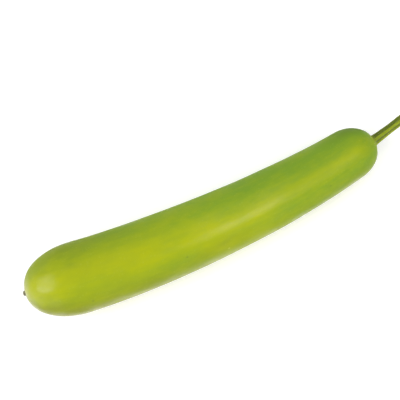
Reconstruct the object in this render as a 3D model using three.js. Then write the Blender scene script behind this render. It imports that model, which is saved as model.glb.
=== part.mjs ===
// A long bottle gourd lying on its side: a club-shaped fruit with a gentle sideways bend,
// the ribbed stem that it hung by, and the dry scar of its flower on the blunt end.
//
// Millimetres, +Z up. +X runs along the fruit, from the blossom end to the stem, and +Y is on the
// hollow side of the bend. The origin is the middle of the narrow flat that the fruit rests on.

import * as THREE from 'three';

// Fruit
const FRUIT_LENGTH = 400; // straight from tip to tip
const BLOSSOM_RADIUS = 38.2; // of the body carried straight on to the blossom end
const STEM_END_RADIUS = 27.0; // of the body carried straight on to the stem end
const BELLY = 1.45; // how far the body swells half way along
const BLOSSOM_CAP = { length: 59.7, power: 2.19 }; // the rounding of the blossom end
const STEM_CAP = { length: 33.3, power: 2.17 }; // the rounding of the stem end
const BEND = 17.9; // how far the tips lie to the side of the middle
const BEND_AT_ENDS = 0.2; // share of the bend that is kept for the two ends
const REST_DIP = 0.7; // depth that the flat takes off the belly
// Long shallow swells of the skin: height as a share of the radius, and waves round and along the fruit
const SWELLS = [
  { height: 0.004, around: 3, along: 0.8, start: 0 },
  { height: 0.004, around: 2, along: -0.5, start: -2.2 },
  { height: 0.003, around: 0, along: 2.7, start: 0.6 },
];

// Stem
const STEM_LENGTH = 42;
const STEM_RADIUS = 4.65;
const STEM_FOOT_FLARE = { height: 1.4, length: 10 };
const STEM_CUT_FLARE = { height: 0.55, length: 4.5 };
const STEM_RIBS = 5;
const STEM_RIB_HEIGHT = 0.55;
const STEM_RIB_TURN = 0.5; // angle of the first rib from the top
const STEM_CURVE = { side: 0.2, lift: 1.6 }; // how far the cut end leaves the straight line
const STEM_CUT_SLOPE = 0.22; // rise of the slanting cut over its width
const STEM_PITH = { radius: 2.8, depth: 0.5 }; // the pith, shrunk back a little in the cut

// Scar of the flower
const SCAR_RADIUS = 2.7;
const SCAR_HEIGHT = 2.1;
const SCAR_LOBES = 5;
const SCAR_LOBE_HEIGHT = 0.3;
// The scar's outline from its foot to the dimple in its top, as shares of its radius and height
const SCAR_OUTLINE = [[1, 0], [0.92, 0.45], [0.68, 0.9], [0.48, 1], [0.2, 0.7], [0, 0.7]];

// The small flats at the tips that the stem and the scar sit on, a little to the side of the middle
const STEM_SEAT = { radius: 10.2, side: -2.4 };
const SCAR_SEAT = { radius: 5.4, side: -2.1 };
const SEAT_GAP = 0.3;

// Fineness of the faces
const FRUIT_SIDES = 48;
const CAP_RINGS = 11;
const BODY_RINGS = 26;
const STEM_SIDES = STEM_RIBS * 8;
const STEM_RINGS = 15;
const STEM_RING_CROWDING = 1.3; // above 1, the stem's rings crowd towards its flared foot
const SCAR_SIDES = SCAR_LOBES * 5;

// Colours
const SKIN_GREEN = 0xa9b928;
const STEM_GREEN = 0x6b7d2c;
const DRY_BROWN = 0x5b5140;

// Radius of the body if its ends weren't rounded, at a distance from the blossom tip
function bodyRadius(distance) {
  const share = distance / FRUIT_LENGTH;
  const taper = THREE.MathUtils.lerp(BLOSSOM_RADIUS, STEM_END_RADIUS, share);
  return taper + BELLY * Math.sin(Math.PI * share);
}

// Share of the body's radius that an end's rounding leaves, at a distance from that tip
function capShare(distance, cap) {
  const inward = THREE.MathUtils.clamp(1 - distance / cap.length, 0, 1);
  return (1 - inward ** cap.power) ** (1 / cap.power);
}

// Distance from a tip at which the rounding leaves that share of the radius
function capDistance(share, cap) {
  return cap.length * (1 - (1 - share ** cap.power) ** (1 / cap.power));
}

function fruitRadius(distance) {
  const rounding = capShare(distance, BLOSSOM_CAP) * capShare(FRUIT_LENGTH - distance, STEM_CAP);
  return bodyRadius(distance) * rounding;
}

function scarSeatDistance() {
  return capDistance(SCAR_SEAT.radius / bodyRadius(0), BLOSSOM_CAP);
}

function stemSeatDistance() {
  return FRUIT_LENGTH - capDistance(STEM_SEAT.radius / bodyRadius(FRUIT_LENGTH), STEM_CAP);
}

// The fruit's centreline: place, direction along it, and the level direction across it
function centreline(distance) {
  const half = FRUIT_LENGTH / 2;
  const w = distance / half - 1;
  const side = BEND * ((1 - BEND_AT_ENDS) * w ** 2 + BEND_AT_ENDS * w ** 4);
  const slope = (BEND / half) * (2 * (1 - BEND_AT_ENDS) * w + 4 * BEND_AT_ENDS * w ** 3);
  const place = new THREE.Vector3(distance - half, side, bodyRadius(distance) - REST_DIP);
  const along = new THREE.Vector3(1, slope, 0).normalize();
  const across = new THREE.Vector3(0, 0, 1).cross(along);
  return { place, along, across };
}

// Share of the radius that the swells add, which fades out at both tips
function swellShare(distance, angle) {
  const share = distance / FRUIT_LENGTH;
  const fade = Math.sin(Math.PI * share);
  const waves = SWELLS.map(({ height, around, along, start }) =>
    height * Math.cos(around * angle + 2 * Math.PI * along * share + start));
  return fade * waves.reduce((sum, wave) => sum + wave, 0);
}

// Moves each point of a turned shape, given as its radius, angle and distance along the axis
function reshape(geometry, placed) {
  const points = geometry.attributes.position;
  for (let i = 0; i < points.count; i += 1) {
    const x = points.getX(i);
    const z = points.getZ(i);
    const moved = placed(Math.hypot(x, z), Math.atan2(x, z), points.getY(i));
    points.setXYZ(i, moved.x, moved.y, moved.z);
  }
  geometry.computeVertexNormals();
  return geometry;
}

function makeMesh(name, geometry, color, roughness) {
  const material = new THREE.MeshStandardMaterial({ color, roughness, metalness: 0 });
  const mesh = new THREE.Mesh(geometry, material);
  mesh.name = name;
  return mesh;
}

// Distances of the fruit's rings, close together where the ends turn inwards
function fruitRings() {
  const first = scarSeatDistance();
  const last = stemSeatDistance();
  const bodyStart = BLOSSOM_CAP.length;
  const bodyEnd = FRUIT_LENGTH - STEM_CAP.length;
  const easeIn = (i) => 1 - Math.cos((i / CAP_RINGS) * (Math.PI / 2));
  const rings = [];
  for (let i = 0; i < CAP_RINGS; i += 1) {
    rings.push(THREE.MathUtils.lerp(first, bodyStart, easeIn(i)));
  }
  for (let i = 0; i < BODY_RINGS; i += 1) {
    rings.push(THREE.MathUtils.lerp(bodyStart, bodyEnd, i / BODY_RINGS));
  }
  for (let i = CAP_RINGS; i >= 0; i -= 1) {
    rings.push(THREE.MathUtils.lerp(last, bodyEnd, easeIn(i)));
  }
  return rings;
}

function makeFruit() {
  const rings = fruitRings();
  const profile = rings.map((distance) => new THREE.Vector2(fruitRadius(distance), distance));
  profile.unshift(new THREE.Vector2(0, rings[0]));
  profile.push(new THREE.Vector2(0, rings[rings.length - 1]));
  const turned = new THREE.LatheGeometry(profile, FRUIT_SIDES);
  const geometry = reshape(turned, (radius, angle, distance) => {
    const { place, across } = centreline(distance);
    const reach = radius * (1 + swellShare(distance, angle));
    place.addScaledVector(across, -reach * Math.sin(angle));
    place.z = Math.max(place.z + reach * Math.cos(angle), 0);
    return place;
  });
  return makeMesh('fruit', geometry, SKIN_GREEN, 0.42);
}

// Radius of the stem between its ribs and its hollows, at a distance from its foot
function stemRadius(distance) {
  const foot = STEM_FOOT_FLARE.height * Math.exp(-distance / STEM_FOOT_FLARE.length);
  const cut = STEM_CUT_FLARE.height * Math.exp((distance - STEM_LENGTH) / STEM_CUT_FLARE.length);
  return STEM_RADIUS + foot + cut;
}

function makeStem() {
  const { place, along, across } = centreline(stemSeatDistance());
  const foot = place.clone().addScaledVector(along, SEAT_GAP).addScaledVector(across, STEM_SEAT.side);
  const profile = [new THREE.Vector2(0, 0)];
  for (let i = 0; i <= STEM_RINGS; i += 1) {
    const distance = STEM_LENGTH * (i / STEM_RINGS) ** STEM_RING_CROWDING;
    profile.push(new THREE.Vector2(stemRadius(distance), distance));
  }
  const pithDistance = STEM_LENGTH - STEM_PITH.depth;
  profile.push(new THREE.Vector2(STEM_PITH.radius, pithDistance), new THREE.Vector2(0, pithDistance));
  const turned = new THREE.LatheGeometry(profile, STEM_SIDES);
  const geometry = reshape(turned, (radius, angle, distance) => {
    const share = distance / STEM_LENGTH;
    const rib = STEM_RIB_HEIGHT * Math.cos(STEM_RIBS * (angle - STEM_RIB_TURN));
    const ribbed = radius * (1 + rib / STEM_RADIUS);
    const up = ribbed * Math.cos(angle);
    const point = foot.clone().addScaledVector(along, distance + STEM_CUT_SLOPE * up * share ** 3);
    point.addScaledVector(across, STEM_CURVE.side * share ** 2 - ribbed * Math.sin(angle));
    point.z += STEM_CURVE.lift * share ** 2 + up;
    return point;
  });
  return makeMesh('stem', geometry, STEM_GREEN, 0.65);
}

function makeBlossomScar() {
  const { place, along, across } = centreline(scarSeatDistance());
  const foot = place.clone().addScaledVector(along, -SEAT_GAP).addScaledVector(across, SCAR_SEAT.side);
  const profile = SCAR_OUTLINE.map(([radius, height]) =>
    new THREE.Vector2(radius * SCAR_RADIUS, height * SCAR_HEIGHT));
  profile.unshift(new THREE.Vector2(0, 0));
  const turned = new THREE.LatheGeometry(profile, SCAR_SIDES);
  const geometry = reshape(turned, (radius, angle, distance) => {
    const lobed = radius * (1 + (SCAR_LOBE_HEIGHT / SCAR_RADIUS) * Math.cos(SCAR_LOBES * angle));
    const point = foot.clone().addScaledVector(along, -distance);
    point.addScaledVector(across, lobed * Math.sin(angle));
    point.z += lobed * Math.cos(angle);
    return point;
  });
  return makeMesh('blossom_scar', geometry, DRY_BROWN, 0.9);
}

const bottleGourd = new THREE.Group();
bottleGourd.add(makeFruit(), makeStem(), makeBlossomScar());

export default bottleGourd;
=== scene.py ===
"""A long bottle gourd lying on its side: waxy skin, ribbed stem, dried pith, short hairs and flower scar.

Metres, in the frame of the solids: +Z up, +X from the blossom end to the stem, and +Y on the hollow
side of the bend. Distances along the fruit start at the blossom tip. Angles round it start at the top
and grow towards -Y.
"""

import math

import bpy
import numpy as np
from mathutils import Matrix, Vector


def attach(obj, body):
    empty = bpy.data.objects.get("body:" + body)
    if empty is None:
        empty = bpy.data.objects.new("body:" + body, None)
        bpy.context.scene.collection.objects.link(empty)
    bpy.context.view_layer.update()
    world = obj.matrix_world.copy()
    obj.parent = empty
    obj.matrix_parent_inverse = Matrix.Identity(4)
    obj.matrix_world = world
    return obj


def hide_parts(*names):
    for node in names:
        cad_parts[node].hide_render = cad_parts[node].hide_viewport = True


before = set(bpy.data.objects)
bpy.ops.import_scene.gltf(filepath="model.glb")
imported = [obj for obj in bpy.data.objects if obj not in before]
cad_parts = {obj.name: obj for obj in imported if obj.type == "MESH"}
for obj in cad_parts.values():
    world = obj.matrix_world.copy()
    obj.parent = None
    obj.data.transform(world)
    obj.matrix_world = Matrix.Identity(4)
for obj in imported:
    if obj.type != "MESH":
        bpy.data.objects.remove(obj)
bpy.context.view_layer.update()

MM = 0.001

# The fruit's form, as the solids have it
FRUIT_LENGTH = 400 * MM
BLOSSOM_RADIUS = 38.2 * MM
STEM_END_RADIUS = 27.0 * MM
BELLY = 1.45 * MM  # how far the body swells half way along
BLOSSOM_CAP = (59.7 * MM, 2.19)  # length and power of the rounding
STEM_CAP = (33.3 * MM, 2.17)
BEND = 17.9 * MM  # how far the tips lie to the side of the middle
BEND_AT_ENDS = 0.2  # share of the bend that is kept for the two ends
REST_DIP = 0.7 * MM  # depth that the flat takes off the belly
# Long shallow swells: height as a share of the radius, waves round the fruit and along it, and start
SWELLS = ((0.004, 3, 0.8, 0.0), (0.004, 2, -0.5, -2.2), (0.003, 0, 2.7, 0.6))

# The stem's form, as the solids have it
STEM_LENGTH = 42 * MM
STEM_RADIUS = 4.65 * MM
STEM_FOOT_FLARE = (1.4 * MM, 10 * MM)  # height and length
STEM_CUT_FLARE = (0.55 * MM, 4.5 * MM)
STEM_RIBS = 5
STEM_RIB_HEIGHT = 0.55 * MM
STEM_RIB_TURN = 0.5  # angle of the first rib from the top
STEM_CURVE = (0.2 * MM, 1.6 * MM)  # side and lift of the cut end
STEM_CUT_SLOPE = 0.22  # rise of the slanting cut over its width
PITH_RADIUS = 2.8 * MM
PITH_DEPTH = 0.5 * MM  # how far the pith has shrunk back from the cut

# The scar's form, as the solids have it
SCAR_RADIUS = 2.7 * MM
SCAR_HEIGHT = 2.1 * MM
SCAR_LOBES = 5
SCAR_LOBE_HEIGHT = 0.3 * MM
# From its foot to the dimple in its top, as shares of its radius and height
SCAR_OUTLINE = ((1, 0), (0.92, 0.45), (0.68, 0.9), (0.48, 1), (0.2, 0.7), (0, 0.7))

# The flats at the tips that the stem and the scar sit on: radius, and how far to the side of the middle
STEM_SEAT = (10.2 * MM, -2.4 * MM)
SCAR_SEAT = (5.4 * MM, -2.1 * MM)
SEAT_GAP = 0.3 * MM

# Random fields: seed, number of waves, shortest and longest wave, and squeeze along X, Y and Z
SKIN_DENTS = (7, 40, (14 * MM, 60 * MM), (0.55, 1, 1))
STEM_LUMPS = (8, 24, (3 * MM, 12 * MM), (0.5, 1, 1))
PITH_SPONGE = (9, 30, (0.5 * MM, 1.8 * MM))
SCAR_CRUMPLES = (10, 30, (0.6 * MM, 2 * MM))
FLOOR_REFLECTION_EDGE = (12, 24, (12 * MM, 90 * MM))
HAIR_SEED = 11


# ------------------------ form of the fruit

def smooth(low, high, value):
    """0 at low, 1 at high, and a smooth step between. Low may be the greater of the two."""
    share = np.clip((value - low) / (high - low), 0, 1)
    return share * share * (3 - 2 * share)


def random_waves(place, seed, count, lengths, squeeze=(1, 1, 1)):
    """A smooth random field of about -1 to 1: a sum of waves, which are longer along a squeezed axis."""
    chance = np.random.default_rng(seed)
    total = np.zeros(place.shape[:-1])
    for _ in range(count):
        way = chance.normal(size=3) * squeeze
        way /= np.linalg.norm(way)
        length = chance.uniform(*lengths)
        start = chance.uniform(0, 2 * np.pi)
        total += length / lengths[1] * np.cos(place @ way * 2 * np.pi / length + start)
    return total / math.sqrt(count)


def body_radius(distance):
    """Radius of the fruit if its ends weren't rounded."""
    share = distance / FRUIT_LENGTH
    taper = BLOSSOM_RADIUS + (STEM_END_RADIUS - BLOSSOM_RADIUS) * share
    return taper + BELLY * np.sin(np.pi * share)


def cap_share(distance, cap):
    """Share of the radius that an end's rounding leaves, at a distance from that tip."""
    length, power = cap
    inward = np.clip(1 - distance / length, 0, 1)
    return (1 - inward ** power) ** (1 / power)


def cap_distance(share, cap):
    """Distance from a tip at which its rounding leaves that share of the radius."""
    length, power = cap
    return length * (1 - (1 - share ** power) ** (1 / power))


def fruit_radius(distance):
    """Radius of the fruit, rounded at both ends."""
    rounding = cap_share(distance, BLOSSOM_CAP) * cap_share(FRUIT_LENGTH - distance, STEM_CAP)
    return body_radius(distance) * rounding


def centreline(distance):
    """Places on the fruit's centreline, the directions along it, and those level across it."""
    half = FRUIT_LENGTH / 2
    run = distance / half - 1  # -1 at the blossom tip, 1 at the stem end's
    side = BEND * ((1 - BEND_AT_ENDS) * run ** 2 + BEND_AT_ENDS * run ** 4)
    slope = BEND / half * (2 * (1 - BEND_AT_ENDS) * run + 4 * BEND_AT_ENDS * run ** 3)
    place = np.stack([distance - half, side, body_radius(distance) - REST_DIP], -1)
    unit = 1 / np.hypot(1, slope)
    along = np.stack([unit, slope * unit, 0 * unit], -1)
    across = np.stack([-slope * unit, unit, 0 * unit], -1)
    return place, along, across


def swell_share(distance, angle):
    """Share of the radius that the long shallow swells add."""
    share = distance / FRUIT_LENGTH
    total = 0 * share * angle
    for height, around, lengthwise, start in SWELLS:
        total = total + height * np.cos(around * angle + 2 * np.pi * lengthwise * share + start)
    return total * np.sin(np.pi * share)


def straightened(distance, angle):
    """Points of the fruit as if it were straight, in which its dents and its finish are laid out."""
    radius = fruit_radius(distance)
    return np.stack([distance - FRUIT_LENGTH / 2, radius * np.sin(angle), radius * np.cos(angle)], -1)


def stem_seat_distance():
    """Distance of the flat that the stem sits on."""
    return FRUIT_LENGTH - cap_distance(STEM_SEAT[0] / body_radius(FRUIT_LENGTH), STEM_CAP)


def round_seat(distance, angle, tip, seat):
    """How far points of the fruit are from a seat's middle, outwards and all told, and at which angle."""
    radius = fruit_radius(distance)
    aside = radius * np.sin(angle) + seat[1]
    up = radius * np.cos(angle)
    outwards = np.hypot(aside, up)
    return outwards, np.hypot(outwards, distance - tip), np.arctan2(aside, up)


# ------------------------ fine form of the skin

DENT_HEIGHT = 0.16 * MM  # size of the skin's small random swells and dents
FACETS = 9  # faint lengthwise flats
FACET_HEIGHT = 0.1 * MM
FACET_SWAY = (3, 4)  # how far the flats sway round the fruit, and how fast along it
SIDE_PAST_SCAR = (6 * MM, 40 * MM)  # where dents and flats begin and are full, away from the scar
SIDE_PAST_STEM = (8 * MM, 30 * MM)
SHOULDER_REACH = 60 * MM
COLLAR_RADIUS = 5.75 * MM  # where the skin meets the stem's foot
COLLAR_RIB_HEIGHT = 0.6 * MM
COLLAR_HEIGHT = 0.5 * MM  # how far the skin climbs the stem's foot
COLLAR_REACH = 1.8 * MM
COLLAR_POWER = 1.4
SEAT_ROUNDING = 0.6 * MM  # how softly the shoulder levels out round the stem's foot
PUCKER_HEIGHT = 0.25 * MM  # the stem's ribs, running out over the shoulder
PUCKER_REACH = 9 * MM
WRINKLES = 13  # fine folds round the scar
WRINKLE_SWAY = 1.5  # how unevenly they are spaced
WRINKLE_HEIGHT = 0.1 * MM
WRINKLE_START = (2 * MM, 4 * MM)
WRINKLE_REACH = 7 * MM
REST_ROUNDING = 0.2 * MM  # how softly the belly goes over into the flat that it rests on


def side_relief(distance, angle, from_scar, from_stem):
    """Height of the skin's dents and faint flats, which fade out at both ends."""
    fade = smooth(*SIDE_PAST_SCAR, from_scar) * smooth(*SIDE_PAST_STEM, from_stem)
    dents = DENT_HEIGHT * random_waves(straightened(distance, angle), *SKIN_DENTS)
    sway, pace = FACET_SWAY
    facets = FACET_HEIGHT * np.cos(FACETS * angle + sway * np.sin(distance / FRUIT_LENGTH * pace))
    return (dents + facets) * fade


def shoulder_relief(distance, stem_reach, stem_angle):
    """How far the skin climbs the stem's foot and puckers round it, less what levelling takes off."""
    ribs = np.cos(STEM_RIBS * (stem_angle - STEM_RIB_TURN))
    pucker = PUCKER_HEIGHT * ribs * np.exp(-((stem_reach - COLLAR_RADIUS) / PUCKER_REACH) ** 2)
    hug = COLLAR_RADIUS + COLLAR_RIB_HEIGHT * ribs
    collar = COLLAR_HEIGHT * np.exp(-(np.maximum(stem_reach - hug, 0) / COLLAR_REACH) ** COLLAR_POWER)
    past_seat = distance - stem_seat_distance()
    levelled = (past_seat + np.hypot(past_seat, SEAT_ROUNDING)) / 2
    return collar + pucker - levelled


def scar_relief(from_scar, scar_reach, scar_angle):
    """Height of the fine folds round the scar."""
    folds = np.cos(WRINKLES * scar_angle + WRINKLE_SWAY * np.sin(2 * scar_angle))
    wrinkle = WRINKLE_HEIGHT * folds * smooth(*WRINKLE_START, scar_reach)
    return wrinkle * np.exp(-(from_scar / WRINKLE_REACH) ** 2)


def skin_surface(distance, angle):
    """Points of the skin, with all its fine form."""
    place, along, across = centreline(distance)
    scar_reach, from_scar, scar_angle = round_seat(distance, angle, 0, SCAR_SEAT)
    stem_reach, from_stem, stem_angle = round_seat(distance, angle, FRUIT_LENGTH, STEM_SEAT)
    reach = fruit_radius(distance) * (1 + swell_share(distance, angle))
    reach = reach + side_relief(distance, angle, from_scar, from_stem)
    climb = shoulder_relief(distance, stem_reach, stem_angle) * (from_stem < SHOULDER_REACH)
    climb = climb - scar_relief(from_scar, scar_reach, scar_angle)
    point = place + along * climb[..., None] - across * (reach * np.sin(angle))[..., None]
    height = point[..., 2] + reach * np.cos(angle)
    point[..., 2] = (height + np.hypot(height, REST_ROUNDING)) / 2
    return point


# ------------------------ form of the stem

RIB_TWIST = 0.1  # how far the ribs turn over the stem's length
RIB_CREST = (0.6, 1.6)  # share and power that narrow the ribs' crests
LUMP_HEIGHT = 0.12 * MM
STRIAE = 31  # fine lengthwise ridges between the ribs
STRIA_HEIGHT = 0.07 * MM
STRIA_SWAY = ((1.2, 5), (0.8, 2))  # how far they sway and how fast: along the stem, and round it
STRIA_UNEVEN = (0.6, 0.4, 3, 7)  # usual height, how much it varies, and how fast round and along the stem


def stem_foot():
    """The stem's foot on the fruit, and the directions along and across the stem."""
    place, along, across = centreline(np.array(stem_seat_distance()))
    return place + along * SEAT_GAP + across * STEM_SEAT[1], along, across


def stem_radius(distance):
    """Radius of the stem between its ribs and its hollows."""
    foot = STEM_FOOT_FLARE[0] * np.exp(-distance / STEM_FOOT_FLARE[1])
    cut = STEM_CUT_FLARE[0] * np.exp((distance - STEM_LENGTH) / STEM_CUT_FLARE[1])
    return STEM_RADIUS + foot + cut


def stem_point(distance, angle, radius):
    """Points of the bent stem, from their distance, angle and radius in the straight one."""
    foot, along, across = stem_foot()
    share = distance / STEM_LENGTH
    up = radius * np.cos(angle)
    forward = distance + STEM_CUT_SLOPE * up * share ** 3
    sideways = STEM_CURVE[0] * share ** 2 - radius * np.sin(angle)
    point = foot + along * forward[..., None] + across * sideways[..., None]
    point[..., 2] += STEM_CURVE[1] * share ** 2 + up
    return point


def rib_wave(distance, angle):
    """1 on the stem's ribs and -1 in its hollows. The crests are narrower than the hollows."""
    wave = np.cos(STEM_RIBS * (angle - STEM_RIB_TURN - RIB_TWIST * (distance / STEM_LENGTH - 0.5)))
    share, power = RIB_CREST
    crest = 2 * ((1 + wave) / 2) ** power - 1
    return (1 - share) * wave + share * crest


def stem_side(distance, angle):
    """Radius of the stem's side, with its ribs, fine ridges and small lumps."""
    place = np.stack([distance, STEM_RADIUS * np.sin(angle), STEM_RADIUS * np.cos(angle)], -1)
    lumps = LUMP_HEIGHT * random_waves(place, *STEM_LUMPS)
    (along, pace), (around, turns) = STRIA_SWAY
    sway = along * np.sin(distance / STEM_LENGTH * pace) + around * np.sin(turns * angle)
    usual, varied, turns, pace = STRIA_UNEVEN
    uneven = usual + varied * np.sin(turns * angle + distance / STEM_LENGTH * pace)
    striae = STRIA_HEIGHT * uneven * np.cos(STRIAE * angle + sway)
    ribs = STEM_RIB_HEIGHT * rib_wave(distance, angle) / STEM_RADIUS
    return stem_radius(distance) * (1 + ribs) + lumps + striae


def stem_surface(distance, angle):
    """Points of the stem's side."""
    return stem_point(distance, angle, stem_side(distance, angle))


# ------------------------ shades of the skin, with painted light and shade among them

# Each soft patch below has its distance, angle, reach along and round the fruit, and strength, in
# millimetres and degrees. Each pair named _SIDE has the degrees at which a shade begins and is full.

# The pale band along the top, painted light where the light falls most: its angle, how far it swings to
# the side, where, and over what length
BAND_ANGLE = math.radians(21)
BAND_SWING = (math.radians(7), 215 * MM, 50 * MM)
LOWER_SIDE_ANGLE = math.radians(140)  # middle of the lower side
UNDER_SIDE = (95, 180)  # below the band

# The green is partly the skin's own and partly painted shade away from the painted light of the band
# Leaf green: how much is on the band, and the steps that add to it: side of the band, degrees, how much
BODY_GREEN = (0.19, (("above", 0, 68, 0.64), ("below", 0, 40, 0.33), ("below", *UNDER_SIDE, 0.31)))
NECK_GREEN = (0.38, (("above", 2, 19, 0.4), ("above", 28, 55, 0.2),
                     ("below", 0, 24, 0.34), ("below", *UNDER_SIDE, 0.3)))
TIP_GREEN = (0.78, (("above", 10, 45, 0.2),))
NECK_START = (170 * MM, 260 * MM)  # where the body's green goes over into the neck's
TIP_START = (365 * MM, 384 * MM)
PAINTED_LIGHT_LIME = 0.27  # painted light: green that the skin lacks along the streak where the light falls brightest
PAINTED_LIGHT_START = (155 * MM, 215 * MM)
PAINTED_LIGHT_END = (290 * MM, 240 * MM)
PAINTED_LIGHT_SIDE = (26, 8)  # above the band
BLOSSOM_LIME = ((60 * MM, 20 * MM, 0.14), (25 * MM, 8 * MM, 0.12))  # steps that take green off
# Patches of painted light where they take green off, and of painted shade where they add it
GREEN_PATCHES = ((166, 27, 18, 10, -0.18), (217, 3, 18, 12, 0.14), (85, -10, 45, 11, 0.07))

# Olive: towards the blossom end, and as painted shade on the lower side, more so on its blossom half
BLOSSOM_OLIVE = 0.3
BLOSSOM_OLIVE_REACH = (200 * MM, 20 * MM)
LOWER_SIDE_SHADE = 0.25
LOWER_SIDE_SHADE_MORE = 0.25
LOWER_SIDE_SHADE_REACH = (230 * MM, 60 * MM)
LOWER_SIDE_SHADE_SIDE = (100, 55)  # from the middle of the lower side
# Olive patches paint shade where they add olive, and light where they take it off
OLIVE_PATCHES = ((199, 55, 28, 13, 0.27), (35, -55, 35, 22, 0.3), (60, 29, 30, 16, -0.16))

# Deep green, painted shade: on the back of the shoulder, and a patch on the blossom end
SHOULDER_SHADE = 0.56
SHOULDER_ANGLE = math.radians(-86)
SHOULDER_SIDE = (82, 36)  # from that angle
SHOULDER_START = (330 * MM, 374 * MM)
SHADE_PATCHES = ((35, -58, 38, 22, 0.22),)

# Painted reflection of the pale floor: pale straw over the lower side and underneath
FLOOR_REFLECTION_SIDE = (66, 0)  # from the middle of the lower side
FLOOR_REFLECTION_STRAY = math.radians(7)  # how far the reflection's edge strays round the fruit

# Gloss of the wax: all over, and more on the rubbed streak, the blossom end and the side that lies down
WAX_ALL_OVER = 0.06
STREAK_WAX = 0.28
STREAK_WIDTH = math.radians(24)
STREAK_START = (158 * MM, 205 * MM)
STREAK_END = (262 * MM, 300 * MM)
STREAK_LOSS = 0.88  # share of the streak's gloss that is gone past its end
BLOSSOM_WAX = 0.6
BLOSSOM_WAX_ANGLE = math.radians(12)
BLOSSOM_WAX_WIDTH = math.radians(50)
BLOSSOM_WAX_REACH = (39 * MM, 25 * MM)
LYING_WAX = 0.5
LYING_WAX_SIDE = (78, 50)  # from the middle of the side that it lay on
LYING_WAX_END = (180 * MM, 215 * MM)
LYING_WAX_LOSS = 0.3  # share of the gloss on the side that lies down that is gone past its end
WAX_PATCHES = ((24.5, 8.5, 5.5, 6.5, 0.75), (370, -60, 45, 35, -0.045))


def turned(angle, middle):
    """Angle from the middle one, from -pi to pi."""
    return np.arctan2(np.sin(angle - middle), np.cos(angle - middle))


def from_band(distance, angle):
    """Angle from the middle of the pale band: positive down the front, negative over the back."""
    swing, middle, reach = BAND_SWING
    return turned(angle, BAND_ANGLE + swing * np.exp(-((distance - middle) / reach) ** 2))


def degree_step(low, high, angle):
    """A smooth step of an angle between two angles in degrees."""
    return smooth(math.radians(low), math.radians(high), angle)


def lower_side_step(low, high, angle):
    """A smooth step between two angles in degrees, from the middle of the lower side."""
    return degree_step(low, high, np.abs(turned(angle, LOWER_SIDE_ANGLE)))


def soft_patches(distance, angle, patches):
    """The sum of soft round patches of the skin."""
    total = 0 * distance * angle
    for middle, turn, lengthwise, around, strength in patches:
        off = ((distance - middle * MM) / (lengthwise * MM)) ** 2
        off = off + (turned(angle, math.radians(turn)) / math.radians(around)) ** 2
        total = total + strength * np.exp(-off)
    return total


def green_round(sides, green, steps):
    """Green round one stretch of the fruit: the band's, and what the steps on its two sides add."""
    for side, start, end, more in steps:
        green = green + more * degree_step(start, end, sides[side])
    return green


def green_and_painted_light(distance, angle):
    """How far the lime has turned leaf green: partly painted shade away from the lit band, and more
    towards the stem.
    """
    away = from_band(distance, angle)
    sides = {"above": np.maximum(-away, 0), "below": np.maximum(away, 0)}
    body, neck, tip = (green_round(sides, *stretch) for stretch in (BODY_GREEN, NECK_GREEN, TIP_GREEN))
    green = body + (neck - body) * smooth(*NECK_START, distance)
    # A painted highlight: lime along the streak where the light falls brightest
    rubbed_wax_and_painted_light = smooth(*PAINTED_LIGHT_START, distance) * smooth(*PAINTED_LIGHT_END, distance)
    beside = degree_step(*PAINTED_LIGHT_SIDE, sides["above"])
    green = green - PAINTED_LIGHT_LIME * rubbed_wax_and_painted_light * beside * (1 - degree_step(*UNDER_SIDE, sides["below"]))
    green = green + soft_patches(distance, angle, GREEN_PATCHES)
    for start, end, less in BLOSSOM_LIME:
        green = green - less * smooth(start, end, distance)
    return green + (tip - green) * smooth(*TIP_START, distance)


def olive_and_painted_shade(distance, angle):
    """How far the green has dulled to olive: towards the blossom end, and as painted shade on the lower
    side.
    """
    olive = BLOSSOM_OLIVE * smooth(*BLOSSOM_OLIVE_REACH, distance)
    olive = olive + soft_patches(distance, angle, OLIVE_PATCHES)
    # Painted shade on the lower side
    lower_side = LOWER_SIDE_SHADE + LOWER_SIDE_SHADE_MORE * smooth(*LOWER_SIDE_SHADE_REACH, distance)
    return olive + lower_side_step(*LOWER_SIDE_SHADE_SIDE, angle) * lower_side


def painted_deep_shade(distance, angle):
    """Painted shade that deepens the green: on the back of the shoulder, and a little on the blossom end.
    """
    behind = degree_step(*SHOULDER_SIDE, np.abs(turned(angle, SHOULDER_ANGLE)))
    shoulder = SHOULDER_SHADE * smooth(*SHOULDER_START, distance) * behind
    return shoulder + soft_patches(distance, angle, SHADE_PATCHES)


def painted_floor_reflection(distance, angle):
    """Painted reflection of the pale floor: more and more towards the middle of the lower side."""
    stray = FLOOR_REFLECTION_STRAY * random_waves(straightened(distance, angle), *FLOOR_REFLECTION_EDGE)
    return degree_step(*FLOOR_REFLECTION_SIDE, np.abs(turned(angle, LOWER_SIDE_ANGLE)) + stray)


def wax_gloss(distance, angle):
    """How glossy the wax is: brighter along the rubbed streak, on the blossom end and underneath."""
    away = from_band(distance, angle)
    streak = np.exp(-(away / STREAK_WIDTH) ** 2) * smooth(*STREAK_START, distance)
    streak = streak * (1 - STREAK_LOSS * smooth(*STREAK_END, distance))
    blossom = np.exp(-((away - BLOSSOM_WAX_ANGLE) / BLOSSOM_WAX_WIDTH) ** 2)
    blossom = blossom * smooth(*BLOSSOM_WAX_REACH, distance)
    lower_side = lower_side_step(*LYING_WAX_SIDE, angle) * (1 - LYING_WAX_LOSS * smooth(*LYING_WAX_END, distance))
    gloss = WAX_ALL_OVER + STREAK_WAX * streak + BLOSSOM_WAX * blossom + LYING_WAX * lower_side
    return gloss + soft_patches(distance, angle, WAX_PATCHES)


# ------------------------ meshes

INNER_SHARE = 0.02  # the innermost ring before a mesh closes, as a share of the radius


def link_mesh(name, points, faces, material, smooth_faces=True):
    """A mesh with one material, as a piece of the scene."""
    mesh = bpy.data.meshes.new(name)
    mesh.from_pydata(points, [], faces)
    mesh.validate()
    if smooth_faces:
        mesh.shade_smooth()
    mesh.materials.append(material)
    piece = bpy.data.objects.new(name, mesh)
    bpy.context.scene.collection.objects.link(piece)
    return piece


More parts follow.
